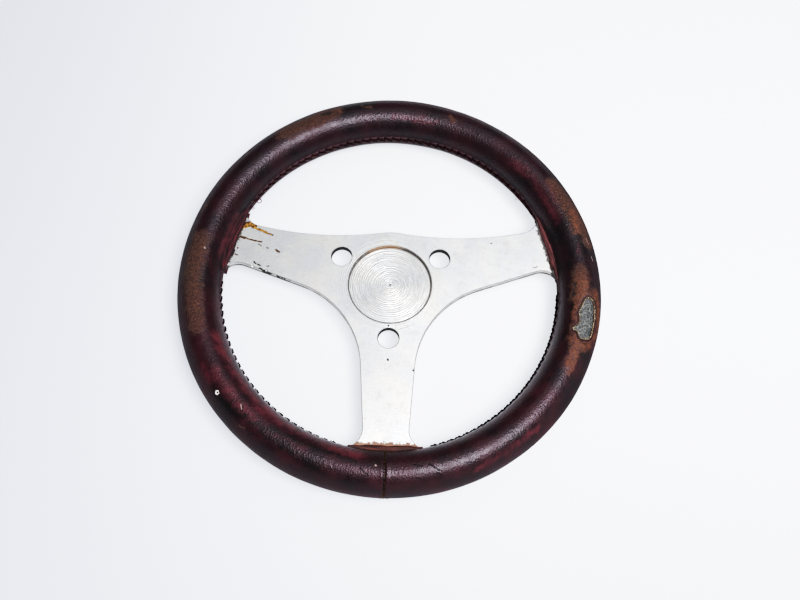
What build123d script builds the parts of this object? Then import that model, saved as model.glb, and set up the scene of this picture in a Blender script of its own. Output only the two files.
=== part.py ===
"""Leather-covered three-spoke racing steering wheel, without its quick release hub.

One flat aluminium plate makes the hub disc, the three spokes and a ring that is
buried in the rim. A moulded core grips the ring, one strip of leather is sewn
round the core along the inner edge of the rim, and thin leather flaps close the
cover against the spokes. The quick release hub is a separate part: it bolts to
the three holes and seats in the round recess.

Millimetres. The origin is the centre of the wheel at mid-thickness of the plate,
+Z points at the driver and -Y runs down the lower spoke.
"""

import os
from math import atan2, cos, degrees, radians, sin, sqrt

from build123d import *

os.makedirs("parts", exist_ok=True)

inch = 25.4

# Rim
rim_outer_diameter = 258.0
grip_width = 26.0  # across the section, in the plane of the wheel
grip_height = 32.0  # along the axis of the wheel
leather_thickness = 1.2
cover_gap = 0.15  # glue line between core and leather
spoke_slot_clearance = 0.15  # round each spoke where it passes out of the cover

# Spoke plate
plate_thickness = 3 / 16 * inch
hub_radius = 34.8
spoke_angles = {"left": 164.5, "right": 15.5, "lower": -90.0}
spoke_half_width_at_centre = 19.8
spoke_half_width_at_ring = 12.2
top_web_radius = 200.0  # long hollow between the hub and the upper edge of each arm
side_web_radius = 57.0  # round web between an arm and the lower spoke
spoke_flare_radius = 11.0
ring_inner_radius = 104.6
ring_outer_radius = 120.0
ring_bite = 4.0  # how far each spoke's outline runs into the ring
plate_edge_break = 0.35

# Interface to the quick release hub
bolt_circle_radius = 2.75 * inch / 2
bolt_hole_radius = 0.5 * inch / 2
recess_mouth_radius = 2.0 * inch / 2
recess_depth = 2.0
recess_chamfer = 0.5

# Workshop marks on the front face
centre_mark_radius = 0.9
centre_mark_tip_radius = 0.05
punch_radius = 0.6
punch_places = [(0.1, -48.5), (-0.2, -27.2)]
witness_ring_place = (21.0, 19.7)
witness_ring_radius = 2.0
witness_ring_width = 0.35
witness_ring_depth = 0.15
nick_radius = 0.9
edge_nicks = [(15.6, -54.4), (9.2, 34.6), (13.0, 34.1), (-76.0, 6.4), (-84.5, 9.2)]

# Sewing along the inner edge of the rim
seam_gap = 0.6
stitch_angle_step = 2.75  # degrees from one stitch to the next
stitch_thread_radius = 0.45
stitch_rise = 3.2
stitch_lean = 3.4  # how far the two ends of a stitch lie apart along the seam
stitch_arcs = {"top": (31.5, 149.5), "left": (181.0, 254.5), "right": (285.5, 359.0)}

# Butt seam of the cover at the lower spoke
end_seam_angle = -90.0
end_seam_gap = 0.5
end_seam_band = 4.2
end_seam_depth = 0.8
end_stitch_radius = 0.35
end_stitch_length = 3.2
end_stitch_sections = [-140, -115, -90, -65, -40, -15, 10, 35, 60, 85, 110, 135]

# Leather flaps on the plate at the root of each spoke
flap_thickness = 1.0
flap_chord_distance = 99.7
flap_outer_radius = 103.0
flap_half_length = 22.0

# Worn hole in the cover, on the upper right of the grip, in the plan of the wheel
worn_hole_outline = [
    (118.1, -10.6), (121.3, -11.8), (122.9, -15.4), (123.3, -20.8), (122.6, -25.4),
    (121.1, -29.1), (119.6, -33.8), (116.6, -36.4), (112.6, -36.8), (110.8, -33.4),
    (108.2, -31.0), (108.7, -29.2), (111.6, -26.4), (112.1, -22.4), (112.1, -18.2),
    (114.4, -14.0),
]

# Sizes that follow from the ones above
grip_half_width = grip_width / 2
grip_half_height = grip_height / 2
rim_centre_radius = rim_outer_diameter / 2 - grip_half_width
rim_inner_radius = rim_centre_radius - grip_half_width
core_half_width = grip_half_width - leather_thickness - cover_gap
core_half_height = grip_half_height - leather_thickness - cover_gap
plate_front = plate_thickness / 2
plate_clearance = 0.05  # between the plate and the core or the leather
cutter_margin = 1.0  # how far a cutting shape runs past the faces it cuts
spoke_outline_reach = ring_inner_radius + ring_bite
upper_gap_angle = spoke_angles["left"] - spoke_angles["right"]


def vertices_at(sketch, radius):
    """Corners of a flat sketch that lie at one distance from the centre of the wheel."""
    return [v for v in sketch.vertices() if abs(sqrt(v.X**2 + v.Y**2) - radius) < 0.3]


def edges_between(faces, nearest, farthest):
    """Edges of some faces whose middles lie between two distances from the centre."""
    edges = ShapeList()
    for face in faces:
        for edge in face.edges():
            middle = edge @ 0.5
            if nearest < sqrt(middle.X**2 + middle.Y**2) < farthest:
                edges.append(edge)
    return edges


def section_point(section_angle, half_width, half_height):
    """Distance from the axis and height of a point on an oval of the rim's section."""
    turn = radians(section_angle)
    return rim_centre_radius + half_width * cos(turn), half_height * sin(turn)


# ------------------------------------------------------------------ spoke plate
spoke_outline = [
    (0, -spoke_half_width_at_centre),
    (spoke_outline_reach, -spoke_half_width_at_ring),
    (spoke_outline_reach, spoke_half_width_at_ring),
    (0, spoke_half_width_at_centre),
]
taper = atan2(spoke_half_width_at_centre - spoke_half_width_at_ring, spoke_outline_reach)
edge_distance = spoke_half_width_at_centre * cos(taper)
side_gap_half_angle = radians((spoke_angles["right"] - spoke_angles["lower"]) / 2)
side_corner_radius = edge_distance / sin(side_gap_half_angle + taper)

with BuildPart() as spoke_frame:
    with BuildSketch(Plane.XY.offset(-plate_front)) as plate_outline:
        Circle(ring_outer_radius)
        Circle(ring_inner_radius, mode=Mode.SUBTRACT)
        for spoke_angle in spoke_angles.values():
            Polygon(*spoke_outline, rotation=spoke_angle, align=None)
        with BuildLine():
            hub_arc = CenterArc((0, 0), hub_radius, spoke_angles["right"], upper_gap_angle)
            Line(hub_arc @ 0, (0, 0))
            Line(hub_arc @ 1, (0, 0))
        make_face()
        fillet(vertices_at(plate_outline, ring_inner_radius), spoke_flare_radius)
        fillet(vertices_at(plate_outline, side_corner_radius), side_web_radius)
        fillet(vertices_at(plate_outline, hub_radius), top_web_radius)
    extrude(amount=plate_thickness)
    with PolarLocations(bolt_circle_radius, 3, start_angle=-90):
        Hole(bolt_hole_radius)
    with BuildSketch(Plane.XY.offset(plate_front)):
        Circle(recess_mouth_radius - recess_chamfer)
    extrude(amount=-recess_depth, mode=Mode.SUBTRACT)
    flat_faces = spoke_frame.faces().filter_by(Axis.Z).group_by(Axis.Z)
    broad_faces = flat_faces[-1] + flat_faces[0]
    mouth_edges = edges_between(flat_faces[-1], 0, recess_mouth_radius)
    outline_edges = edges_between(
        broad_faces, recess_mouth_radius, ring_inner_radius - plate_edge_break
    )
    chamfer(outline_edges, plate_edge_break)
    chamfer(mouth_edges, recess_chamfer)
    with Locations((0, 0, plate_front - recess_depth)):
        Cone(
            centre_mark_tip_radius, centre_mark_radius, centre_mark_radius, mode=Mode.SUBTRACT
        )
    with Locations(*[(x, y, plate_front) for x, y in punch_places]):
        Sphere(punch_radius, mode=Mode.SUBTRACT)
    with Locations(*[(x, y, plate_front) for x, y in edge_nicks]):
        Sphere(nick_radius, mode=Mode.SUBTRACT)
    with BuildSketch(Plane.XY.offset(plate_front)):
        with Locations(witness_ring_place):
            Circle(witness_ring_radius)
            Circle(witness_ring_radius - witness_ring_width, mode=Mode.SUBTRACT)
    extrude(amount=-witness_ring_depth, mode=Mode.SUBTRACT)

spoke_frame.part.label = "spoke_frame"
export_step(spoke_frame.part, "parts/spoke_frame.step")

# ------------------------------------------------------------------- rim core
# A moulded ring with a slot all round its inner side, which the plate's ring fills.
channel_depth = ring_outer_radius + plate_clearance - rim_inner_radius

with BuildPart() as rim_core:
    with BuildSketch(Plane.XZ):
        with Locations((rim_centre_radius, 0)):
            Ellipse(core_half_width, core_half_height)
        with Locations((rim_inner_radius + channel_depth / 2, 0)):
            Rectangle(channel_depth, plate_thickness + 2 * plate_clearance, mode=Mode.SUBTRACT)
    revolve(axis=Axis.Z)

rim_core.part.label = "rim_core"
export_step(rim_core.part, "parts/rim_core.step")

# --------------------------------------------------------------- leather cover
# One strip round the core: its long edges meet at the inner seam, its ends at the
# butt seam, and the plate passes out between the long edges at each spoke.
end_seam_half_turn = degrees(end_seam_band / 2 / rim_centre_radius)
end_seam_plane = Plane.XZ.rotated((0, 0, end_seam_angle - end_seam_half_turn))

with BuildPart() as leather_cover:
    with BuildSketch(Plane.XZ):
        with Locations((rim_centre_radius, 0)):
            Ellipse(grip_half_width, grip_half_height)
            Ellipse(
                grip_half_width - leather_thickness,
                grip_half_height - leather_thickness,
                mode=Mode.SUBTRACT,
            )
        with Locations((rim_inner_radius, 0)):
            Rectangle(4 * leather_thickness, seam_gap, mode=Mode.SUBTRACT)
    revolve(axis=Axis.Z)
    with BuildSketch(Plane.XY.offset(-plate_front - plate_clearance)):
        add(plate_outline.sketch_local)
        offset(amount=spoke_slot_clearance)
    extrude(amount=plate_thickness + 2 * plate_clearance, mode=Mode.SUBTRACT)
    with BuildSketch(end_seam_plane):
        with Locations((rim_centre_radius, 0)):
            Ellipse(grip_half_width + cutter_margin, grip_half_height + cutter_margin)
            Ellipse(
                grip_half_width - end_seam_depth,
                grip_half_height - end_seam_depth,
                mode=Mode.SUBTRACT,
            )
    revolve(axis=Axis.Z, revolution_arc=2 * end_seam_half_turn, mode=Mode.SUBTRACT)
    with Locations(Location((0, 0, 0), (0, 0, end_seam_angle))):
        with Locations((rim_centre_radius, 0, 0)):
            Box(
                grip_width + 2 * cutter_margin,
                end_seam_gap,
                grip_height + 2 * cutter_margin,
                mode=Mode.SUBTRACT,
            )
    with BuildSketch(Plane.XY.offset(plate_front + cutter_margin)):
        with BuildLine():
            Spline(*worn_hole_outline, periodic=True)
        make_face()
    extrude(amount=grip_height, mode=Mode.SUBTRACT)

leather_cover.part.label = "leather_cover"
export_step(leather_cover.part, "parts/leather_cover.step")

# -------------------------------------------------------------------- stitching
# Whip stitches over the inner seam: each one climbs as it goes anticlockwise.
stitch_length = sqrt(stitch_rise**2 + stitch_lean**2)
stitch_radius = rim_inner_radius - stitch_thread_radius - plate_clearance


def stitch_plane(angle):
    """Plane whose normal runs along the stitch at an angle round the wheel."""
    turn = radians(angle)
    outwards = Vector(cos(turn), sin(turn), 0)
    along = Vector(-sin(turn), cos(turn), 0) * stitch_lean + Vector(0, 0, stitch_rise)
    return Plane(origin=outwards * stitch_radius, x_dir=outwards, z_dir=along)


for arc_name, (first_angle, last_angle) in stitch_arcs.items():
    stitch_count = int((last_angle - first_angle) / stitch_angle_step) + 1
    stitch_planes = [
        stitch_plane(first_angle + number * stitch_angle_step) for number in range(stitch_count)
    ]
    with BuildPart() as stitching:
        with Locations(*stitch_planes):
            Cylinder(stitch_thread_radius, stitch_length)
    stitching.part.label = f"stitching_{arc_name}"
    export_step(stitching.part, f"parts/stitching_{arc_name}.step")

end_stitch_half_width = grip_half_width - end_seam_depth + end_stitch_radius + plate_clearance
end_stitch_half_height = grip_half_height - end_seam_depth + end_stitch_radius + plate_clearance

with BuildPart() as end_seam_stitches:
    for section_angle in end_stitch_sections:
        radius, height = section_point(section_angle, end_stitch_half_width, end_stitch_half_height)
        with Locations(Location((0, 0, height), (0, 0, end_seam_angle))):
            with Locations(Location((radius, 0, 0), (90, 0, 0))):
                Cylinder(end_stitch_radius, end_stitch_length)

end_seam_stitches.part.label = "end_seam_stitches"
export_step(end_seam_stitches.part, "parts/end_seam_stitches.step")

# ------------------------------------------------------------------ spoke flaps
# Thin leather crescents, glued to both faces of the plate where it enters the rim.
flap_sides = {"front": plate_front, "back": -plate_front - flap_thickness}

for side, flap_height in flap_sides.items():
    for spoke_name, spoke_angle in spoke_angles.items():
        with BuildPart() as spoke_flap:
            with BuildSketch(Plane.XY.offset(flap_height).rotated((0, 0, spoke_angle))):
                Circle(flap_outer_radius)
                with Locations((flap_chord_distance + flap_half_length, 0)):
                    Rectangle(2 * flap_half_length, 2 * flap_half_length, mode=Mode.INTERSECT)
            extrude(amount=flap_thickness)
        flap_name = f"{spoke_name}_flap_{side}"
        spoke_flap.part.label = flap_name
        export_step(spoke_flap.part, f"parts/{flap_name}.step")
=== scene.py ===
"""Looks of the old leather-rimmed racing steering wheel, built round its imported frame.

Metres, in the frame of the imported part: the wheel lies face up in the XY plane, +Z is its
axis and the lower spoke runs down -Y. Places on the rim are given as two angles in degrees:
the turn round the wheel (0 along +X, 90 along +Y) and the section angle of the grip's oval
(0 at the outer edge, 90 on top of the face, 180 at the inner seam).
"""

import random
from math import cos, degrees, pi, radians, sin

import bmesh
import bpy
import numpy as np
from mathutils import Matrix, Vector, noise


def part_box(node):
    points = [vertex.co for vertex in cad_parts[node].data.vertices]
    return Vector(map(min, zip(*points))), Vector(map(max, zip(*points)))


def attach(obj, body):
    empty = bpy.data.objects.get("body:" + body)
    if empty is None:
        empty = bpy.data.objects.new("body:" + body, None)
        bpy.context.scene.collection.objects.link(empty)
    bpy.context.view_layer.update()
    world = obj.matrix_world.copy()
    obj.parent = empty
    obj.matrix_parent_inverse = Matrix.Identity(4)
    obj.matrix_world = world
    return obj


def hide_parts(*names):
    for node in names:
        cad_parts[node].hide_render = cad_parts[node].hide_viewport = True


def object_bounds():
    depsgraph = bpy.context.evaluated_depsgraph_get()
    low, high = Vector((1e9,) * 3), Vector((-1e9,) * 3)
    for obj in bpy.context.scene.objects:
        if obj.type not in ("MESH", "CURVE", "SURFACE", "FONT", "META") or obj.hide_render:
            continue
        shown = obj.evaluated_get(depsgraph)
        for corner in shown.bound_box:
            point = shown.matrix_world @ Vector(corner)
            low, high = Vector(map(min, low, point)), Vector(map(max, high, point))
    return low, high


MM = 0.001
TINY = 1e-6  # keeps a division off zero
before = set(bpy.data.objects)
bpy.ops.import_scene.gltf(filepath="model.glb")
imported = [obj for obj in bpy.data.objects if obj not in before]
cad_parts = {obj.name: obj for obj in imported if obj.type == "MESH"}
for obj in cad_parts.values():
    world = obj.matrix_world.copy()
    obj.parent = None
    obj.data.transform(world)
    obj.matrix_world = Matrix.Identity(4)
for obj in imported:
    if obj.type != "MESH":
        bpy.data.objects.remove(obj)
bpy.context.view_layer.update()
scene = bpy.context.scene

# ---- sizes from the frame
cover_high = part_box("leather_cover")[1]
core_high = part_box("rim_core")[1]
GRIP_HALF_HEIGHT = cover_high.z
GRIP_HALF_WIDTH = 13.0 * MM
RIM_CENTRE = cover_high.x - GRIP_HALF_WIDTH
RIM_INNER = RIM_CENTRE - GRIP_HALF_WIDTH
COVER_DEPTH = cover_high.x - core_high.x  # from the skin of the cover down to the core
PLATE_BACK, PLATE_FRONT = (corner.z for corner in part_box("spoke_frame"))
PLATE_TOP, PLATE_BASE = PLATE_FRONT / MM, PLATE_BACK / MM  # in millimetres
PLATE_MIDDLE = (PLATE_TOP + PLATE_BASE) / 2

SPOKE_TURNS = {"left": 164.5, "right": 15.5, "lower": -90.0}
BUTT_SEAM_TURN = -90.0
PUNCTURE = (-142.3, 64.0)  # turn and section angle

# The stitches, with the lengths in millimetres. The lower right thread is thicker and slacker.
STITCH_STEP = 2.75  # degrees
STITCH_ARCS = {"top": (31.5, 149.5), "left": (181.0, 254.5), "right": (285.5, 359.0)}
STITCH_RADIUS = {"top": 0.56, "left": 0.56, "right": 0.64}
STITCH_LIFT = {"top": 0.52, "left": 0.52, "right": 0.75}  # above the skin
STITCH_LEAN = 5.4  # along the seam from one end of a stitch to the other
STITCH_RISE = 2.2  # from the seam up or down to a stitch's end
END_DIP = 1.5  # how far a stitch's ends go down into their holes
STITCH_POINTS = 13
LEAN_TURN = degrees(STITCH_LEAN * MM / RIM_INNER) / 2


# ---- rim geometry
def rim_point(turn, section, out=0.0):
    """Point of the grip's oval at two angles in radians, out metres proud of the skin."""
    across = np.cos(section) / GRIP_HALF_WIDTH
    up = np.sin(section) / GRIP_HALF_HEIGHT
    size = np.hypot(across, up)
    radius = RIM_CENTRE + GRIP_HALF_WIDTH * np.cos(section) + out * across / size
    height = GRIP_HALF_HEIGHT * np.sin(section) + out * up / size
    return np.stack([radius * np.cos(turn), radius * np.sin(turn), height], axis=-1)


def place_on_rim(turn, section, out=0.0):
    """The same point from angles in degrees, as one vector."""
    return Vector(rim_point(radians(turn), radians(section), out))


SECTION_TABLE = np.radians(np.linspace(180.0, -180.0, 721))
table_steps = np.hypot(
    np.diff(GRIP_HALF_WIDTH * np.cos(SECTION_TABLE)),
    np.diff(GRIP_HALF_HEIGHT * np.sin(SECTION_TABLE)),
)
GIRTH_TABLE = np.concatenate([[0.0], np.cumsum(table_steps)])
GIRTH = GIRTH_TABLE[-1]


def section_at(girth):
    """Section angle, in radians, at a distance over the skin from the front lip."""
    return np.interp(girth, GIRTH_TABLE, SECTION_TABLE)


def girth_at(section):
    """Distance over the skin from the front lip to a section angle in radians."""
    return np.interp(-section, -SECTION_TABLE, GIRTH_TABLE)


# ---- mesh helpers
def carried_frames(path):
    """Points of a path, each with two directions across it that twist as little as they can."""
    side = (path[1] - path[0]).orthogonal()
    for number, middle in enumerate(path):
        along = (path[min(number + 1, len(path) - 1)] - path[max(number - 1, 0)]).normalized()
        side = (side - along * side.dot(along)).normalized()
        yield middle, side, along.cross(side)


class MeshBuilder:
    """Collects points and faces for one smooth piece."""

    def __init__(self):
        self.points = []
        self.faces = []

    def tube(self, path, radii, sides):
        """A closed round tube along a path of vectors, with one radius per point."""
        first = len(self.points)
        for (middle, side, other), radius in zip(carried_frames(path), radii):
            for corner in range(sides):
                angle = 2 * pi * corner / sides
                self.points.append(middle + (side * cos(angle) + other * sin(angle)) * radius)
        for ring in range(len(path) - 1):
            for corner in range(sides):
                following = (corner + 1) % sides
                low = first + ring * sides
                high = low + sides
                self.faces.append((low + corner, low + following, high + following, high + corner))
        last = first + (len(path) - 1) * sides
        self.faces.append(tuple(range(first + sides - 1, first - 1, -1)))
        self.faces.append(tuple(range(last, last + sides)))

    def finish(self, name, material):
        """Makes the piece."""
        mesh = bpy.data.meshes.new(name)
        mesh.from_pydata([tuple(point) for point in self.points], [], self.faces)
        return link_mesh(name, mesh, material)


def put_in_scene(name, data):
    """A new object in the scene."""
    thing = bpy.data.objects.new(name, data)
    scene.collection.objects.link(thing)
    return thing


def link_mesh(name, mesh, material):
    """Makes a smooth piece of a mesh, which rides on the wheel."""
    mesh.validate()
    mesh.polygons.foreach_set("use_smooth", [True] * len(mesh.polygons))
    mesh.materials.append(material)
    piece = put_in_scene(name, mesh)
    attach(piece, "root")
    return piece


# ---- material helpers
class Graph:
    """Short ways to add and join the nodes of one material. Lengths in it are millimetres."""

    def __init__(self, name):
        self.material = bpy.data.materials.new(name)
        self.material.use_nodes = True
        self.tree = self.material.node_tree
        self.shader = self.tree.nodes["Principled BSDF"]
        coordinates = self.tree.nodes.new("ShaderNodeTexCoord").outputs["Object"]
        self.place = self.vector("SCALE", coordinates, scale=1 / MM)

    def join(self, value, socket):
        """Links an output to a socket, or sets the socket to a plain value."""
        if isinstance(value, bpy.types.NodeSocket):
            self.tree.links.new(value, socket)
        elif value is not None:
            socket.default_value = (*value, 1.0) if socket.type == "RGBA" else value

    def node(self, kind, *values):
        """A new node, with values joined to its first inputs in order."""
        node = self.tree.nodes.new(f"ShaderNode{kind}")
        for socket, value in zip(node.inputs, values):
            self.join(value, socket)
        return node

    def math(self, operation, first, second=None, clamp=False):
        """One operation on one or two numbers."""
        node = self.node("Math", first, second)
        node.operation = operation
        node.use_clamp = clamp
        return node.outputs[0]

    def in_turn(self, operation, values):
        """Several values taken together, one after the other, by one operation."""
        result = values[0]
        for value in values[1:]:
            result = self.math(operation, result, value)
        return result

    def total(self, *values):
        """Sum of several values."""
        return self.in_turn("ADD", values)

    def times(self, *values):
        """Product of several values."""
        return self.in_turn("MULTIPLY", values)

    def highest(self, *values):
        """Highest of several values."""
        return self.in_turn("MAXIMUM", values)

    def vector(self, operation, first, second=None, scale=None):
        """One operation on one or two vectors."""
        node = self.node("VectorMath", first, second)
        node.operation = operation
        if scale is not None:
            self.join(scale, node.inputs["Scale"])
        scalar = operation in ("DOT_PRODUCT", "DISTANCE", "LENGTH")
        return node.outputs["Value" if scalar else "Vector"]

    def split(self, vector):
        """The x, y and z of a vector."""
        return self.node("SeparateXYZ", vector).outputs[:]

    def combine(self, x, y, z=0.0):
        """The vector of an x, y and z."""
        return self.node("CombineXYZ", x, y, z).outputs[0]

    def polar(self):
        """Distance from the wheel's axis, and turn round it in radians."""
        x, y, _ = self.split(self.place)
        return self.vector("LENGTH", self.combine(x, y)), self.math("ARCTAN2", y, x)

    def noise(self, size, detail=2.0, roughness=0.5, where=None, colour=False):
        """Noise whose blobs are about size millimetres across, finer with more detail."""
        node = self.node("TexNoise", where or self.place)
        node.inputs["Scale"].default_value = 1 / size
        node.inputs["Detail"].default_value = detail
        node.inputs["Roughness"].default_value = roughness
        return node.outputs["Color" if colour else "Fac"]

    def cells(self, where, size):
        """Distance to the nearest of scattered centres about size millimetres apart."""
        node = self.node("TexVoronoi", where)
        node.inputs["Scale"].default_value = 1 / size
        return node.outputs["Distance"]

    def ramp(self, value, low, high, start=0.0, end=1.0):
        """Smooth step from start at low to end at high."""
        node = self.node("MapRange", value, low, high, start, end)
        node.interpolation_type = "SMOOTHSTEP"
        return node.outputs[0]

    def blend(self, factor, first, second):
        """Colour from first to second as the factor goes from 0 to 1."""
        node = self.node("Mix")
        node.data_type = "RGBA"
        self.join(factor, node.inputs["Factor"])
        for socket, value in zip(node.inputs[6:8], (first, second)):
            self.join(value, socket)
        return node.outputs[2]

    def layered(self, colour, *layers):
        """A colour under several layers, each given as its share and its own colour."""
        for share, layer in layers:
            colour = self.blend(share, colour, layer)
        return colour

    def attribute(self, name):
        """A number that each point of the mesh carries."""
        node = self.node("Attribute")
        node.attribute_name = name
        return node.outputs["Fac"]

    def wobbled(self, size, amount):
        """The place, shifted about by up to half of amount."""
        shift = self.vector("SUBTRACT", self.noise(size, colour=True), (0.5, 0.5, 0.5))
        return self.vector("ADD", self.place, self.vector("SCALE", shift, scale=amount))

    def strokes(self, where, strokes):
        """Distance to the nearest stroke as a share of its half width: 1 at its edge."""
        nearest = None
        for start, end, half_width in strokes:
            start, span = Vector(start), Vector(end) - Vector(start)
            from_start = self.vector("SUBTRACT", where, start)
            projected = self.vector("DOT_PRODUCT", from_start, span)
            reach = 1 / max(span.length_squared, TINY)
            share = self.math("MULTIPLY", projected, reach, clamp=True)
            foot = self.vector("SCALE", tuple(span), scale=share)
            distance = self.vector("DISTANCE", from_start, foot)
            share = self.math("MULTIPLY", distance, 1 / half_width)
            nearest = share if nearest is None else self.math("MINIMUM", nearest, share)
        return nearest

    def spots(self, where, strokes, full, none):
        """1 on the strokes and 0 away from them, smoothly between the two shares."""
        return self.ramp(self.strokes(where, strokes), full, none, 1.0, 0.0)

    def band(self, value, middle, full, none):
        """1 where the value is within full of the middle, down to 0 at none from it."""
        away = self.math("ABSOLUTE", self.math("SUBTRACT", value, middle))
        return self.ramp(away, full, none, 1.0, 0.0)

    def bump(self, height, strength=1.0):
        """Normal of a surface raised by height millimetres."""
        node = self.node("Bump")
        node.inputs["Strength"].default_value = strength
        node.inputs["Distance"].default_value = MM
        self.join(height, node.inputs["Height"])
        return node.outputs[0]

    def surface(self, **values):
        """Joins or sets the shader's own inputs, named with underscores for spaces."""
        for name, value in values.items():
            self.join(value, self.shader.inputs[name.replace("_", " ")])
        return self.material


def rim_strokes(marks):
    """Strokes on the skin of the rim, in millimetres, from pairs of angles and a half width."""
    return [
        (place_on_rim(*start) / MM, place_on_rim(*end) / MM, half_width)
        for start, end, half_width in marks
    ]


# ---- leather material
NEAR_BLACK = (0.0065, 0.0045, 0.0055)
OXBLOOD = (0.019, 0.0052, 0.0078)
WINE = (0.086, 0.018, 0.026)
BRIGHT_WINE = (0.118, 0.028, 0.037)
SCUFF_BROWN = (0.092, 0.046, 0.028)
TAN = (0.128, 0.057, 0.030)
# Worn pink of the seam lips, lightened as a painted highlight.
LIP_WEAR_AND_HIGHLIGHT = (0.150, 0.070, 0.085)
PALE_SCRATCH = (0.30, 0.24, 0.22)
DARK_EDGE = (0.006, 0.004, 0.004)

WINE_MARKS = [
    ((46, 116), (37, 112), 2.4), ((37, 112), (22, 118), 2.0),
    ((33, 88), (27, 97), 1.5), ((12, 88), (9, 92), 1.0),
    ((-98, 124), (-132, 122), 3.2), ((-130, 122), (-158, 128), 3.0),
    ((-131, 84), (-147, 86), 3.0), ((-146, 64), (-151, 68), 1.4),
    ((-46, 50), (-66, 46), 1.5), ((157, 154), (172, 152), 2.0),
    ((90, 112), (76, 114), 1.4),
]
BROWN_MARKS = [
    ((170, 84), (180, 80), 6.0), ((180, 80), (197, 82), 5.6),
    ((33, 74), (26, 70), 5.0), ((26, 70), (17, 62), 7.0),
    ((17, 62), (12, 56), 4.0), ((3, 100), (-5, 110), 4.8),
    ((126, 76), (109, 74), 5.6), ((-130.6, 57), (-131.4, 55), 1.3),
    ((161, 52), (159, 64), 1.0), ((72, 90), (70.5, 97), 1.6),
    ((100, 76), (97, 80), 1.0),
]
TAN_MARKS = [
    ((0, 94), (-4, 92), 4.2), ((-2, 104), (-12, 109), 2.3),
    ((-3, 60), (-8, 40), 2.6), ((22, 68), (16, 80), 2.6),
    ((-8, 38), (-14, 26), 3.2), ((-15, 38), (-19, 50), 2.4),
    ((-19, 101), (-20, 68), 2.8), ((-21, 84), (-26, 86), 3.2),
    ((-25, 74), (-28.5, 76), 1.7), ((107.6, 66), (107.0, 88), 1.1),
]
DARK_MARKS = [
    ((-98, 100), (-124, 98), 2.2), ((-108, 62), (-140, 60), 3.0),
    ((112.5, 76), (110.5, 76), 2.2), ((-1, 112), (-20, 118), 1.2),
]
CUT_MARKS = [
    ((-77.6, 95), (-75.3, 75), 0.35), ((-82.0, 100), (-79.5, 92), 0.25),
    ((-133.6, 84), (-134.4, 92), 0.35), ((-127.0, 62), (-128.5, 50), 0.3),
    ((-96.5, 88), (-94.2, 74), 0.3), ((-139, 16), (-134.4, 7), 0.55),
    ((-134, 9), (-127, 1), 0.55), ((-127, 1), (-115, -5), 0.6),
    ((171.5, 128), (178.0, 138), 0.25), ((170.0, 124), (176.5, 134), 0.2),
]
PALE_MARKS = [
    ((-134.0, 86), (-135.2, 92), 0.4), ((172.4, 103), (172.5, 103.6), 0.7),
    ((-92.4, 99), (-92.5, 99.8), 0.7), ((13.6, 60), (11.8, 56), 0.35),
    ((8.0, 58), (6.6, 55), 0.3),
]


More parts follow.
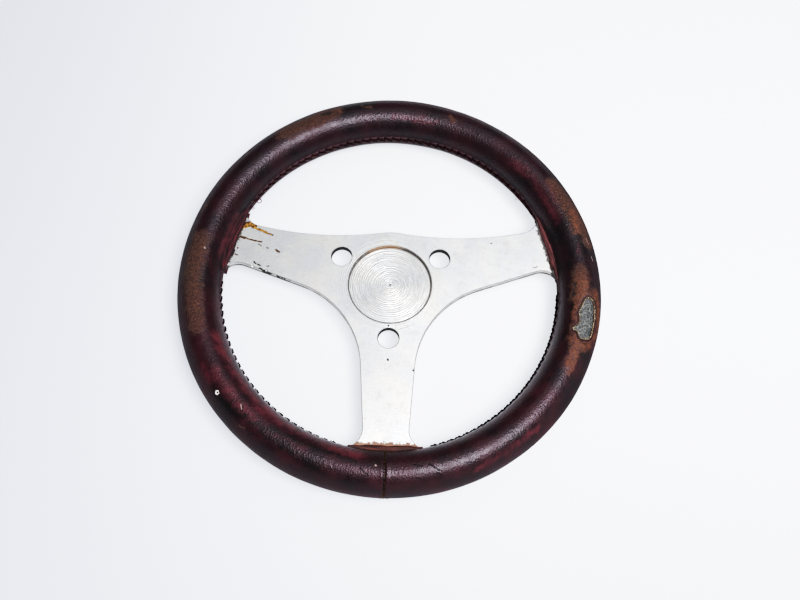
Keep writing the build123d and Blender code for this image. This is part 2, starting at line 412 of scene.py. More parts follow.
def leather_material():
    """Old oxblood leather with black patina, wine-red hollows and brown scuffs."""
    graph = Graph("worn_leather")
    place = graph.place
    x, y, _ = graph.split(place)
    from_seam = graph.attribute("seam_distance")
    from_hole = graph.attribute("hole_distance")

    # The grain is drawn out across the strip, so it follows the turn of the rim.
    towards = graph.vector("NORMALIZE", graph.combine(x, y))
    round_x, round_y, _ = graph.split(graph.vector("SCALE", towards, scale=RIM_CENTRE / MM))
    drawn_out = graph.combine(round_x, round_y, graph.times(from_seam, 0.5))
    grain = graph.noise(0.80, 3, 0.6, where=drawn_out)
    creases = graph.noise(1.7, 3, 0.6, where=drawn_out)
    pebbles = graph.cells(graph.wobbled(1.5, 0.8), 1.2)
    texture = graph.total(graph.times(pebbles, 0.12), graph.times(grain, 0.15), graph.times(creases, 0.12))

    broad = graph.noise(26, 3)
    patches = graph.noise(6, 5, 0.65)
    speckle = graph.noise(1.1, 4, 0.75)
    ragged = graph.wobbled(4, 7)
    stained = graph.noise(12, 4, 0.55)
    lower_half = graph.ramp(y, 40, -60, 0.16, 0.38)
    mottled = graph.times(graph.ramp(stained, 0.28, 0.80), lower_half)
    wine = graph.times(
        graph.spots(ragged, rim_strokes(WINE_MARKS), 0.1, 2.2),
        graph.ramp(patches, 0.30, 0.65, 0.40, 0.90),
        graph.ramp(y, 60, -40, 0.6, 1.0),
    )
    wine_colour = graph.blend(graph.ramp(from_seam, 15.0, 19.0), BRIGHT_WINE, WINE)
    brown = graph.spots(ragged, rim_strokes(BROWN_MARKS), 0.35, 1.45)
    brown = graph.times(brown, graph.ramp(speckle, 0.38, 0.60, 0.30, 1.0))
    tan = graph.spots(ragged, rim_strokes(TAN_MARKS), 0.25, 1.7)
    tan = graph.highest(tan, graph.ramp(from_hole, 0.8, 4.5, 0.8, 0.0))
    flecks = graph.noise(2.2, 5, 0.65)
    tan = graph.times(tan, graph.ramp(flecks, 0.34, 0.64, 0.30, 1.0))

    hole_edge = graph.band(from_hole, 0.9, 0.15, 0.7)
    # The lip beside the seam is paler: worn pink leather with a painted highlight along it.
    lip = graph.times(graph.band(from_seam, 1.9, 0.4, 1.5), graph.ramp(patches, 0.3, 0.6, 0.0, 0.7))
    seam = graph.ramp(from_seam, 0.2, 1.2, 1.0, 0.0)
    ragged_x, _, _ = graph.split(graph.wobbled(2.5, 1.0))
    beside_butt = graph.total(graph.math("ABSOLUTE", ragged_x), graph.ramp(y, -80, -60, 0, 50))
    butt_seam = graph.ramp(beside_butt, 0.35, 0.85, 1.0, 0.0)
    cuts = graph.spots(place, rim_strokes(CUT_MARKS), 0.5, 1.3)
    worn_dark = graph.spots(ragged, rim_strokes(DARK_MARKS), 0.3, 1.3)
    rubbed_dark = graph.highest(graph.times(hole_edge, 0.9), graph.times(worn_dark, 0.8))
    dark = graph.highest(rubbed_dark, seam, butt_seam, cuts)
    pale = graph.times(graph.spots(place, rim_strokes(PALE_MARKS), 0.4, 1.2), 0.8)
    colour = graph.layered(
        graph.blend(graph.ramp(broad, 0.36, 0.60), NEAR_BLACK, OXBLOOD),
        (mottled, WINE),
        (wine, wine_colour),
        (brown, SCUFF_BROWN),
        (tan, TAN),
        (lip, LIP_WEAR_AND_HIGHLIGHT),
        (dark, DARK_EDGE),
        (pale, PALE_SCRATCH),
    )

    dry = graph.highest(brown, tan)
    flaking = graph.times(dry, speckle, 0.35)
    height = graph.total(texture, flaking, graph.times(cuts, -0.5))
    outward = graph.polar()[0]
    right_edge = graph.times(graph.ramp(outward, 119, 125), graph.ramp(x, 70, 115, 0.0, 0.30))
    beside_seam = graph.ramp(from_seam, 3.0, 7.0, 1.0, 0.0)
    rough = graph.total(
        graph.ramp(patches, 0.3, 0.7, 0.345, 0.455),
        graph.times(dry, 0.26),
        graph.ramp(outward, 121, 127, 0.0, 0.25),
        right_edge,
        graph.times(beside_seam, graph.ramp(y, -50, 10, -0.20, 0.35)),
    )
    return graph.surface(
        Base_Color=colour,
        Roughness=rough,
        Normal=graph.bump(height, 0.9),
        Specular_IOR_Level=0.5,
        Specular_Tint=(0.97, 0.91, 1.0),
    )


# ---- leather cover
# Corners of the worn-through place, as (turn, section angle).
WORN_HOLE = [
    (-5.1, 77), (-5.3, 68), (-6.0, 61), (-7.0, 55), (-8.1, 53.5), (-9.5, 52), (-10.8, 49),
    (-12.0, 51), (-13.0, 50), (-14.2, 51), (-15.4, 51), (-16.5, 54), (-17.2, 61), (-17.7, 72),
    (-17.8, 82), (-17.1, 89), (-16.3, 94), (-16.0, 100), (-15.9, 106), (-15.3, 107), (-14.6, 102),
    (-13.7, 97), (-12.8, 94), (-11.4, 97), (-9.8, 99), (-8.7, 96), (-7.4, 91), (-6.5, 89), (-5.6, 85),
]
HOLE_CURVE_STEPS = 7  # points to a side of the outline
HOLE_SEED = 5
HOLE_MARGIN = 12.0  # how far round the hole the grid is looked at, in millimetres
SNAP_REACH = 0.5  # how near a point has to be to move onto the outline, in millimetres
FAR_AWAY = 20.0  # stands for any distance past that margin
COLUMNS = 1000
LIP_ROWS = [0.0, 0.35, 0.7, 1.05, 1.4, 1.8, 2.2, 2.7, 3.3, 4.0, 4.8, 5.7]
ROW_STEP = 1.08
SPOKE_SLIT = 11.4  # degrees from a spoke's middle to where the lips meet again
SLIT_FADE = 1.6  # degrees over which they close


def angle_between(turn, centre):
    """Signed difference of two turns in degrees, from -180 to 180."""
    return (turn - centre + 180.0) % 360.0 - 180.0


def bell(distance, width):
    """A smooth hill of height 1 round no distance."""
    return np.exp(-((distance / width) ** 2))


def closed_curve(corners, steps):
    """A smooth closed curve through corners, as points steps to a side."""
    corners = np.array(corners, float)
    before, after, later = (np.roll(corners, shift, axis=0) for shift in (1, -1, -2))
    share = np.linspace(0, 1, steps, endpoint=False)[None, :, None]
    p0, p1, p2, p3 = (side[:, None, :] for side in (before, corners, after, later))
    curve = 0.5 * (
        2 * p1
        + (p2 - p0) * share
        + (2 * p0 - 5 * p1 + 4 * p2 - p3) * share**2
        + (3 * p1 - p0 - 3 * p2 + p3) * share**3
    )
    return curve.reshape(-1, 2)


def nearest_on_curve(points, curve):
    """Nearest point on a closed curve, and the signed distance to it, negative inside."""
    ahead = np.roll(curve, -1, axis=0)
    span = ahead - curve
    offset = points[:, None, :] - curve[None]
    share = np.clip((offset * span).sum(-1) / (span**2).sum(-1), 0, 1)
    foot = curve[None] + share[..., None] * span
    distance = np.linalg.norm(points[:, None, :] - foot, axis=-1)
    best = distance.argmin(1)
    rows = np.arange(len(points))
    above = (curve[None, :, 1] > points[:, None, 1]) != (ahead[None, :, 1] > points[:, None, 1])
    slope = span[:, 0] / np.where(span[:, 1] == 0, 1e-12, span[:, 1])
    crossing = curve[:, 0] + (points[:, None, 1] - curve[:, 1]) * slope
    inside = (above & (points[:, None, 0] < crossing)).sum(1) % 2 == 1
    return foot[rows, best], np.where(inside, -1, 1) * distance[rows, best]


def hole_outline():
    """The torn outline as distances in millimetres along and across the rim."""
    turns, sections = np.radians(np.array(WORN_HOLE, float)).T
    corners = np.stack([turns * RIM_CENTRE / MM, girth_at(sections) / MM], axis=1)
    curve = closed_curve(corners, HOLE_CURVE_STEPS)
    rng = np.random.default_rng(HOLE_SEED)
    return curve + rng.normal(0, 0.09, curve.shape)


def pucker(turn_degrees, girth_mm):
    """How far the stitches pull the skin in, in millimetres, beside the front or back lip."""
    depth = np.zeros_like(turn_degrees)
    for side, girth_side in ((1, girth_mm), (-1, GIRTH / MM - girth_mm)):
        near = girth_side < 9.0
        for first, last in STITCH_ARCS.values():
            hole_turn = first + side * LEAN_TURN
            steps = angle_between(turn_degrees, hole_turn) % 360.0 / STITCH_STEP
            inside = steps < (last - first) / STITCH_STEP + 0.5
            phase = steps - np.round(steps)
            along = phase * STITCH_STEP * pi / 180 * RIM_INNER / MM
            dimple = 0.5 * bell(along, 0.9) * bell(girth_side - STITCH_RISE, 0.8)
            wave = 0.11 * np.cos(2 * pi * phase) * bell(girth_side - 2.5, 2.6)
            depth += np.where(near & inside, dimple + wave, 0.0)
    return depth


def lumps(points, size, seed):
    """Smooth noise from -1 to 1 at many points, in blobs of about size metres."""
    shift = Vector((seed, seed * 0.7, seed * 1.3))
    return np.array([noise.noise(Vector(point) / size + shift) for point in points])


def spoke_opening(turn_degrees):
    """From 0 to 1, how far the lips stand apart to let a spoke out."""
    opening = np.zeros_like(turn_degrees)
    for centre in SPOKE_TURNS.values():
        away = np.abs(angle_between(turn_degrees, centre))
        opening = np.maximum(opening, np.clip((SPOKE_SLIT - away) / SLIT_FADE, 0, 1))
    return opening * opening * (3 - 2 * opening)


def snap_to_hole(places):
    """Moves places near the torn outline onto it, and gives all their distances to it."""
    outline = hole_outline()
    low, high = outline.min(0) - HOLE_MARGIN, outline.max(0) + HOLE_MARGIN
    close = np.flatnonzero(((places > low) & (places < high)).all(1))
    foot, signed = nearest_on_curve(places[close], outline)
    snap = np.abs(signed) < SNAP_REACH
    places[close[snap]] = foot[snap]
    signed[snap] = 0.0
    distance = np.full(len(places), FAR_AWAY)
    distance[close] = signed
    return distance


def grid_quads(row_count):
    """Corners of every quad of the strip, which closes round the wheel."""
    row, column = np.meshgrid(np.arange(row_count - 1), np.arange(COLUMNS), indexing="ij")
    here = (row * COLUMNS + column).ravel()
    beside = (row * COLUMNS + (column + 1) % COLUMNS).ravel()
    return np.stack([here, here + COLUMNS, beside + COLUMNS, beside], axis=1)


def torn_edges(quads, hole_distance):
    """Edges of the quads round the worn hole, each as its two corners in order."""
    by_hole = quads[(hole_distance[quads] < 3).any(1)]
    edges = np.concatenate([by_hole[:, [side, (side + 1) % 4]] for side in range(4)])
    keys, uses = np.unique(np.sort(edges, axis=1), axis=0, return_counts=True)
    single = {tuple(key) for key in keys[(uses == 1) & (hole_distance[keys] < 1.2).all(1)]}
    return [edge for edge in edges if tuple(sorted(edge)) in single]


def cover_relief(turn, girth, from_lip, skin, hole_distance):
    """How far the leather stands off the plain oval at each point, in millimetres."""
    butt = np.abs(angle_between(turn, BUTT_SEAM_TURN)) * pi / 180 * RIM_CENTRE / MM
    from_puncture = np.linalg.norm(skin - np.array(place_on_rim(*PUNCTURE)), axis=1) / MM
    lip = 0.26 * bell(from_lip - 2.3, 1.5) - 1.35 * bell(from_lip, 0.6)
    uneven = 0.16 * lumps(skin, 0.028, 1.0) + 0.07 * lumps(skin, 0.007, 4.0)
    butt_seam = 0.20 * bell(butt - 1.5, 1.0) - 0.80 * bell(butt, 0.45)
    thinned = 0.45 * bell(np.maximum(hole_distance, 0), 1.6)
    pit = 0.8 * bell(from_puncture, 0.9)
    return np.minimum(lip - pucker(turn, girth) + uneven + butt_seam - thinned - pit, 0.4)


def make_cover(material):
    """The leather strip, with its lips, puckers, butt seam and worn hole."""
    full_girth = GIRTH / MM
    middle = np.arange(LIP_ROWS[-1] + 0.9, full_girth - LIP_ROWS[-1] - 0.5, ROW_STEP)
    rows = np.concatenate([LIP_ROWS, middle, full_girth - np.array(LIP_ROWS[::-1])])
    turn_row = np.linspace(-180.0, 180.0, COLUMNS, endpoint=False)
    turn, girth = (grid.ravel() for grid in np.meshgrid(turn_row, rows))
    flat = np.stack([np.radians(turn) * RIM_CENTRE / MM, girth], axis=1)
    hole_distance = snap_to_hole(flat)
    turn = np.degrees(flat[:, 0] * MM / RIM_CENTRE)
    girth = flat[:, 1]

    # Beside a spoke the lips lie on the faces of the plate, and they close up past it.
    from_lip = np.minimum(girth, full_girth - girth)
    plate_edge = (PLATE_TOP + 0.15) * spoke_opening(turn) * np.clip(1 - from_lip / 12, 0, 1)
    shifted = from_lip + plate_edge
    shifted = np.where(girth < full_girth / 2, shifted, full_girth - shifted)
    section = section_at(shifted * MM)
    skin = rim_point(np.radians(turn), section)
    relief = cover_relief(turn, girth, from_lip, skin, hole_distance)
    points = rim_point(np.radians(turn), section, relief * MM)

    quads = grid_quads(len(rows))
    quads = quads[(hole_distance[quads] >= 0).all(1)]
    torn = torn_edges(quads, hole_distance)
    torn_corners = sorted({corner for edge in torn for corner in edge})
    below = {corner: len(points) + number for number, corner in enumerate(torn_corners)}
    depth = np.full(len(torn_corners), -COVER_DEPTH)
    wall = rim_point(np.radians(turn[torn_corners]), section[torn_corners], depth)
    points = np.concatenate([points, wall])
    hole_distance = np.concatenate([hole_distance, np.full(len(wall), -0.5)])
    from_lip = np.concatenate([from_lip, np.full(len(wall), FAR_AWAY)])
    faces = quads.tolist() + [(b, a, below[a], below[b]) for a, b in torn]

    mesh = bpy.data.meshes.new("leather_strip")
    mesh.from_pydata(points.tolist(), [], faces)
    used = np.zeros(len(points), bool)
    used[np.unique(quads)] = True
    used[len(used) - len(wall):] = True
    for label, values in (("hole_distance", hole_distance), ("seam_distance", from_lip)):
        layer = mesh.attributes.new(label, "FLOAT", "POINT")
        layer.data.foreach_set("value", values.astype(np.float32))
    piece = link_mesh("leather_strip", mesh, material)
    remove_loose(piece, used)
    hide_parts("leather_cover")


def remove_loose(piece, used):
    """Deletes the points that no face uses."""
    work = bmesh.new()
    work.from_mesh(piece.data)
    loose = [point for point, keep in zip(work.verts, used) if not keep]
    bmesh.ops.delete(work, geom=loose, context="VERTS")
    work.to_mesh(piece.data)
    work.free()


# ---- thread
# The colour in the hollows and the colour where it is rubbed.
DARK_THREAD = (0.004, 0.002, 0.003), (0.030, 0.006, 0.010)
TAN_THREAD = (0.035, 0.018, 0.010), (0.200, 0.110, 0.045)
WINE_BLACK_THREAD = (0.010, 0.003, 0.004), (0.095, 0.030, 0.034)
WINE_THREAD = (0.070, 0.005, 0.022), (0.170, 0.016, 0.060)


def thread_material(name, dark, light):
    """Waxed two-ply thread: fine fibres, paler where it is rubbed."""
    graph = Graph(name)
    fibres = graph.noise(0.35)
    rubbed = graph.noise(4.0)
    share = graph.times(graph.ramp(fibres, 0.4, 0.7), graph.ramp(rubbed, 0.35, 0.65, 0.2, 1.0))
    return graph.surface(
        Base_Color=graph.blend(share, dark, light),
        Roughness=graph.ramp(fibres, 0.3, 0.7, 0.8, 0.95),
        Normal=graph.bump(graph.times(fibres, 0.12)),
        Specular_IOR_Level=0.08,
    )


def plied(builder, path, radius, twists):
    """Two strands twisted round each other along a path of vectors."""
    for ply in (0, pi):
        strand = []
        for number, (middle, side, other) in enumerate(carried_frames(path)):
            angle = ply + 2 * pi * twists * number / (len(path) - 1)
            strand.append(middle + (side * cos(angle) + other * sin(angle)) * radius * 0.45)
        builder.tube(strand, [radius * 0.62] * len(path), 6)


def make_stitching(arc, material):
    """Whip stitches over the inner seam, each one climbing as it goes anticlockwise."""
    rng = random.Random(f"stitching {arc}")
    builder = MeshBuilder()
    for turn in np.arange(*STITCH_ARCS[arc], STITCH_STEP):
        turn += rng.uniform(-0.12, 0.12)
        thickness = STITCH_RADIUS[arc] * MM * rng.uniform(0.92, 1.08)
        rise = STITCH_RISE * rng.uniform(0.92, 1.1)
        path = []
        for share in np.linspace(-1, 1, STITCH_POINTS):
            section = 180.0 - degrees(rise * MM * share / GRIP_HALF_HEIGHT)
            lift = (STITCH_LIFT[arc] - END_DIP * abs(share) ** 5) * MM
            path.append(place_on_rim(turn + LEAN_TURN * share, section, lift))
        plied(builder, path, thickness, 1.5)
    piece = builder.finish(f"seam_thread_{arc}", material)
    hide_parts(f"stitching_{arc}")


def make_butt_thread(material):
    """What is left of the thread across the butt seam of the strip."""
    rng = random.Random("butt seam")
    builder = MeshBuilder()
    for section in range(-150, 165, 9):
        if rng.random() < 0.2:
            continue
        lean = rng.uniform(-3.0, 3.0)
        reach = rng.uniform(0.35, 0.75)
        path = []
        for share in np.linspace(-1, 1, 7):
            turn = BUTT_SEAM_TURN + degrees(reach * share * MM / RIM_CENTRE)
            lift = (0.02 - 0.5 * (1 - share * share) + 0.25 * rng.random()) * MM
            path.append(place_on_rim(turn, section + lean * share, lift))
        plied(builder, path, 0.26 * MM, 1.0)
    piece = builder.finish("butt_seam_thread", material)
    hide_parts("end_seam_stitches")


# ---- flaps
FLAP_CHORDS = {"left": 98.9, "right": 99.9, "lower": 99.8}  # millimetres from the axis
FLAP_HALF_LENGTH = 21.5 * MM
FLAP_RIM = 103.4 * MM  # radius of the flap's hidden edge
ALONG_STEPS, ACROSS_STEPS = 72, 8
FLAP_COLOURS = {
    "left": ((0.012, 0.005, 0.007), (0.110, 0.018, 0.028)),
    "right": ((0.050, 0.016, 0.017), (0.150, 0.052, 0.056)),
    "lower": ((0.040, 0.015, 0.013), (0.105, 0.040, 0.032)),
}


def make_flap(name, spoke, side, material):
    """A thin leather tongue on the plate, tucked under the cover."""
    upright = Matrix.Rotation(radians(SPOKE_TURNS[spoke]), 3, "Z")
    facing = 1 if side == "front" else -1
    builder = MeshBuilder()
    rng = random.Random(name)
    wave = [rng.uniform(0, 2 * pi) for _ in range(3)]
    for layer in (1, 0):
        for i in range(ALONG_STEPS + 1):
            y = FLAP_HALF_LENGTH * (2 * i / ALONG_STEPS - 1)
            arc = (FLAP_RIM * FLAP_RIM - y * y) ** 0.5
            ripple = 0.22 * sin(i / 5 + wave[0]) + 0.12 * sin(i / 2.1 + wave[1])
            edge = min((FLAP_CHORDS[spoke] + ripple) * MM, arc - 0.5 * MM)
            for j in range(ACROSS_STEPS + 1):
                share = j / ACROSS_STEPS
                x = edge + (arc - edge) * share
                rounding = 1 - (1 - min(share * 2.5, 1)) ** 2
                height = 0.25 + 0.75 * rounding + 0.10 * sin(i / 6 + wave[2])
                z = PLATE_FRONT + 0.02 * MM + layer * height * MM
                builder.points.append(upright @ Vector((x, y, facing * z)))
    width = ACROSS_STEPS + 1
    size = (ALONG_STEPS + 1) * width
    for i in range(ALONG_STEPS):
        for j in range(ACROSS_STEPS):
            a = i * width + j
            top = (a, a + 1, a + width + 1, a + width)
            bottom = tuple(size + corner for corner in reversed(top))
            builder.faces += [top, bottom]
    walk = [width] * ALONG_STEPS + [1] * ACROSS_STEPS
    a = 0
    for step in walk + [-step for step in walk]:
        builder.faces.append((a, a + step, a + step + size, a + size))
        a += step
    if facing < 0:
        builder.faces = [tuple(reversed(face)) for face in builder.faces]
    piece = builder.finish(name, material)
    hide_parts(f"{spoke}_flap_{side}")


def flap_material(name, base, worn):
    """Thin folded leather with worn ridges that run along the edge of the tongue."""
    graph = Graph(name)
    radius, turn = graph.polar()
    along = graph.combine(radius, graph.times(turn, 9))
    ridges = graph.noise(0.9, 3, 0.6, where=along)
    patches = graph.noise(5, 4, 0.65)
    fine = graph.noise(0.7, 3, 0.6)
    rubbed = graph.times(graph.ramp(ridges, 0.40, 0.62), graph.ramp(patches, 0.3, 0.65, 0.3, 1.0))
    colour = graph.blend(rubbed, base, worn)
    colour = graph.blend(graph.ramp(fine, 0.55, 0.75, 0.0, 0.5), colour, NEAR_BLACK)
    height = graph.total(graph.times(fine, 0.14), graph.times(ridges, 0.35))
    return graph.surface(
        Base_Color=colour,
        Roughness=graph.ramp(patches, 0.3, 0.7, 0.55, 0.75),
        Normal=graph.bump(height),
        Specular_IOR_Level=0.4,
    )


# ---- the plate
RECESS_RADIUS = 25.4
RING_PITCH = 1.3
BOLT_CIRCLE = 34.925
BOLT_RADIUS = 6.35
BOLT_TURNS = (30, 150, 270)

COOL_METAL = (0.60, 0.622, 0.645)
WARM_METAL = (0.675, 0.672, 0.655)
GREY_FILM = (0.46, 0.45, 0.43)
SPECK_BROWN = (0.12, 0.10, 0.08)
GLUE_BROWN = (0.065, 0.028, 0.008)
GLUE_AMBER = (0.36, 0.185, 0.035)
RUST_BROWN = (0.065, 0.030, 0.012)
SOOT = (0.03, 0.028, 0.026)
# Dirt colour, also the colour of the painted shade on the plate's side walls.
GRIME_AND_SHADE = (0.042, 0.037, 0.030)
RUSTY_GRIME = (0.22, 0.12, 0.055)
LEATHER_DUST = (0.20, 0.085, 0.045)
DARK_DUST = (0.070, 0.030, 0.020)
# Near-black painted shade, with grime, where the flaps meet the plate.
CREVICE_SHADE = (0.010, 0.006, 0.005)
# Painted shade, with some dirt, on the bolt-hole walls.
HOLE_WALL_SHADE = (0.010, 0.010, 0.011)

# Marks on the plate, in millimetres: where each stroke starts and ends, and its half width.
GLUE_MARKS = [
    ((-92.0, 37.2), (-88.5, 37.5), 1.9), ((-88.5, 37.5), (-85.4, 36.0), 1.5),
    ((-93.4, 34.6), (-89.4, 36.2), 0.8), ((-84.6, 35.0), (-77.5, 32.0), 0.7),
    ((-77.5, 32.0), (-73.8, 30.4), 0.45),
]
BROWN_PLATE_MARKS = [
    ((-93.7, 28.9), (-91.0, 28.2), 0.8), ((-91.0, 28.2), (-87.7, 27.3), 0.5),
    ((-87.0, 27.0), (-80.4, 25.6), 0.55), ((-76.7, 21.8), (-76.2, 21.5), 0.45),
    ((-71.0, 20.5), (-69.1, 19.2), 0.75), ((-94.9, 21.5), (-94.8, 20.9), 0.5),
    ((-95.8, 17.0), (-94.8, 16.6), 0.6),
]
DARK_PLATE_MARKS = [
    ((-82.3, 24.0), (-80.2, 22.9), 0.4), ((-83.9, 12.0), (-82.6, 11.2), 0.55),
    ((-81.2, 10.4), (-79.9, 9.7), 0.5), ((-75.5, 9.2), (-74.6, 9.6), 0.4),
    ((-80.5, 8.2), (-72.6, 4.4), 0.4), ((-69.5, 3.6), (-61.0, 0.4), 0.25),
    ((8.5, 34.6), (10.0, 34.4), 0.5), ((13.0, 34.2), (13.8, 33.8), 0.3),
    ((101.0, 9.6), (102.6, 10.2), 0.6), ((88.0, 13.2), (90.4, 13.8), 0.3),
    ((62.0, 29.0), (62.5, 28.8), 0.4), ((15.2, -54.5), (15.7, -54.4), 0.5),
    ((0.1, -48.5), (0.1, -48.4), 0.6), ((-0.2, -27.2), (-0.2, -27.1), 0.5),
    ((0, 0), (0.1, 0), 0.7), ((-96.4, 19.6), (-97.6, 16.2), 0.6),
    ((96.6, 30.5), (96.0, 28.2), 0.6), ((98.6, 17.2), (99.4, 12.6), 0.9),
]


def plate_strokes(marks):
    """Strokes on the plate from pairs of flat places and a half width."""
    return [((*start, 0), (*end, 0), half_width) for start, end, half_width in marks]


def bolt_holes():
    """The three bolt holes, as strokes of no length."""
    marks = []
    for turn in BOLT_TURNS:
        centre = (BOLT_CIRCLE * cos(radians(turn)), BOLT_CIRCLE * sin(radians(turn)))
        marks.append((centre, centre, BOLT_RADIUS))
    return plate_strokes(marks)


def plate_grime_and_shade(graph, smudges, off_back, front_half):
    """Share and colour of the darkening: round the foot of the recess wall, dirt at the arms' ends,
    painted shade with grime along the flaps' edges, and painted shade with dirt on the lower half of the
    side walls and on the bolt-hole walls.
    """
    place = graph.place
    x, y, z = graph.split(place)
    radius = graph.polar()[0]
    blotches = graph.noise(2.2, 4, 0.65)
    reach = graph.ramp(y, -24, 24, 0.35, 1.2)
    from_wall = graph.math("SUBTRACT", RECESS_RADIUS + 0.1, radius)
    corner = graph.times(
        graph.ramp(graph.math("DIVIDE", from_wall, reach), 0.5, 1.1, 1.0, 0.0),
        graph.ramp(radius, RECESS_RADIUS + 0.2, RECESS_RADIUS + 0.7, 1, 0),
        graph.ramp(blotches, 0.25, 0.5, 0.55, 1.0),
        front_half,
    )
    arms = [(cos(radians(turn)), sin(radians(turn)), 0.0) for turn in SPOKE_TURNS.values()]
    along_arm = graph.highest(*(graph.vector("DOT_PRODUCT", place, arm) for arm in arms))
    by_flap = graph.total(along_arm, graph.ramp(blotches, 0.35, 0.75, -1.2, 1.0))
    arm_end = graph.ramp(by_flap, 97.5, 98.2)
    off_lower_arm = graph.ramp(y, -60, -40)
    # Painted shade with grime: a near-black line on the plate just inside the flaps' edges, left off the
    # lower arm.
    crevice_shade = graph.times(graph.ramp(by_flap, 98.0, 98.6), off_lower_arm)
    # Painted shade, broken by dirt blotches, on the lower half of the plate's side walls.
    edge_wall_dirt_and_shade = graph.times(
        off_back,
        graph.ramp(z, PLATE_MIDDLE - 0.5, PLATE_MIDDLE + 0.2, 1.0, 0.0),
        graph.ramp(smudges, 0.36, 0.56, 0.45, 0.92),
    )
    below_face = graph.math("SUBTRACT", 1.0, graph.ramp(z, PLATE_TOP - 0.35, PLATE_TOP - 0.1))
    # Painted shade, with some dirt, darkens the bolt-hole walls below the face to near black.
    bolt_wall_shade = graph.spots(graph.combine(x, y), bolt_holes(), 1.04, 1.07)
    in_corners = graph.times(graph.highest(corner, arm_end), 0.9)
    grime_and_shade = graph.highest(in_corners, edge_wall_dirt_and_shade, graph.times(below_face, bolt_wall_shade))
    rusty = graph.times(graph.band(x, -4, 6, 14), graph.band(y, 23, 3, 7))
    colour = graph.layered(
        graph.blend(rusty, GRIME_AND_SHADE, RUSTY_GRIME),
        (arm_end, graph.blend(off_lower_arm, LEATHER_DUST, DARK_DUST)),
        (crevice_shade, CREVICE_SHADE),
        (bolt_wall_shade, HOLE_WALL_SHADE),
    )
    return grime_and_shade, colour


def aluminium_material():
    """Dull turned and brushed aluminium with scratches, glue drips, dirt, darkening round the recess, and
    painted shade on its walls and along the flaps.
    """
    graph = Graph("worn_aluminium")
    place = graph.place
    _, y, z = graph.split(place)
    radius, turn = graph.polar()
    on_face = graph.ramp(z, PLATE_TOP - 0.4, PLATE_TOP - 0.2)
    off_back = graph.ramp(z, PLATE_BASE + 0.2, PLATE_BASE + 0.4)
    front_half = graph.ramp(z, PLATE_MIDDLE - 0.1, PLATE_MIDDLE + 0.2)
    in_recess = graph.ramp(radius, RECESS_RADIUS - 0.3, RECESS_RADIUS, 1.0, 0.0)

    cloudy = graph.noise(18, 3)
    smudges = graph.noise(5, 4, 0.65)
    drifting = graph.wobbled(14, 9)
    along_arms = graph.vector("MULTIPLY", drifting, (0.16, 1.7, 1.0))
    brushed = graph.noise(1.0, 3, where=along_arms)
    across_arms = graph.vector("MULTIPLY", drifting, (1.3, 0.22, 1.0))
    crossed = graph.noise(1.0, 3, where=across_arms)
    pitted = graph.noise(0.9, 3, 0.7)
    arcs = graph.combine(graph.times(radius, 1.6), graph.times(turn, 1.2))
    turned = graph.ramp(graph.noise(1.0, where=arcs), 0.35, 0.65)
    rings = graph.math("SINE", graph.times(radius, 2 * pi / RING_PITCH))
    ring_share = graph.highest(in_recess, graph.ramp(radius, 29, 35, 0.45, 0.0))
    ring_share = graph.times(ring_share, front_half)
    lathe = graph.total(graph.times(rings, 0.023), graph.times(turned, 0.095))
    lathe = graph.times(lathe, ring_share)

    film_and_shade = graph.total(
        graph.ramp(smudges, 0.45, 0.75, 0.0, 0.42),
        graph.ramp(brushed, 0.50, 0.75, 0.0, 0.26),
        graph.ramp(crossed, 0.55, 0.75, 0.0, 0.16),
        graph.ramp(pitted, 0.50, 0.70, 0.0, 0.22),
        # Painted shade: the plate is greyer down the lower arm, against the lamp's reflection there.
        graph.ramp(y, -25, -60, 0.0, 0.25),
    )
    specks = graph.noise(1.3, 3, 0.7)

    ragged_x, ragged_y, _ = graph.split(graph.wobbled(1.6, 1.4))
    ragged = graph.combine(ragged_x, ragged_y)
    brown = graph.spots(ragged, plate_strokes(BROWN_PLATE_MARKS), 0.7, 1.25)
    glue = graph.spots(ragged, plate_strokes(GLUE_MARKS), 0.75, 1.2)
    dark = graph.spots(ragged, plate_strokes(DARK_PLATE_MARKS), 0.7, 1.2)
    dark = graph.times(dark, off_back)
    glue_mix = graph.ramp(graph.noise(1.6, 3), 0.38, 0.60)
    glue_colour = graph.blend(glue_mix, GLUE_BROWN, GLUE_AMBER)
    grime_and_shade, grime_and_shade_colour = plate_grime_and_shade(graph, smudges, off_back, front_half)
    colour = graph.layered(
        graph.blend(graph.ramp(cloudy, 0.35, 0.65), COOL_METAL, WARM_METAL),
        (film_and_shade, GREY_FILM),
        (graph.times(turned, ring_share, 0.22), GREY_FILM),
        (graph.ramp(specks, 0.66, 0.74, 0.0, 0.5), SPECK_BROWN),
        (graph.times(brown, on_face), RUST_BROWN),
        (graph.times(glue, on_face), glue_colour),
        (dark, SOOT),
        (grime_and_shade, grime_and_shade_colour),
    )
    stained = graph.highest(brown, glue, dark, grime_and_shade)

    rough = graph.total(graph.ramp(smudges, 0.3, 0.7, 0.42, 0.55), graph.times(stained, 0.25))
    height = graph.total(
        graph.times(brushed, 0.045),
        graph.times(crossed, 0.025),
        graph.ramp(brushed, 0.66, 0.74, 0.0, -0.03),
        graph.times(glue, 0.25),
        lathe,
    )
    metal = graph.ramp(stained, 0.5, 1.0, 0.92, 0.05)
    return graph.surface(
        Base_Color=colour, Metallic=metal, Roughness=rough, Normal=graph.bump(height, 0.8)
    )


CORE_DARK = (0.022, 0.025, 0.027)
CORE_SHADE = (0.055, 0.058, 0.062)
CORE_PALE = (0.185, 0.192, 0.182)


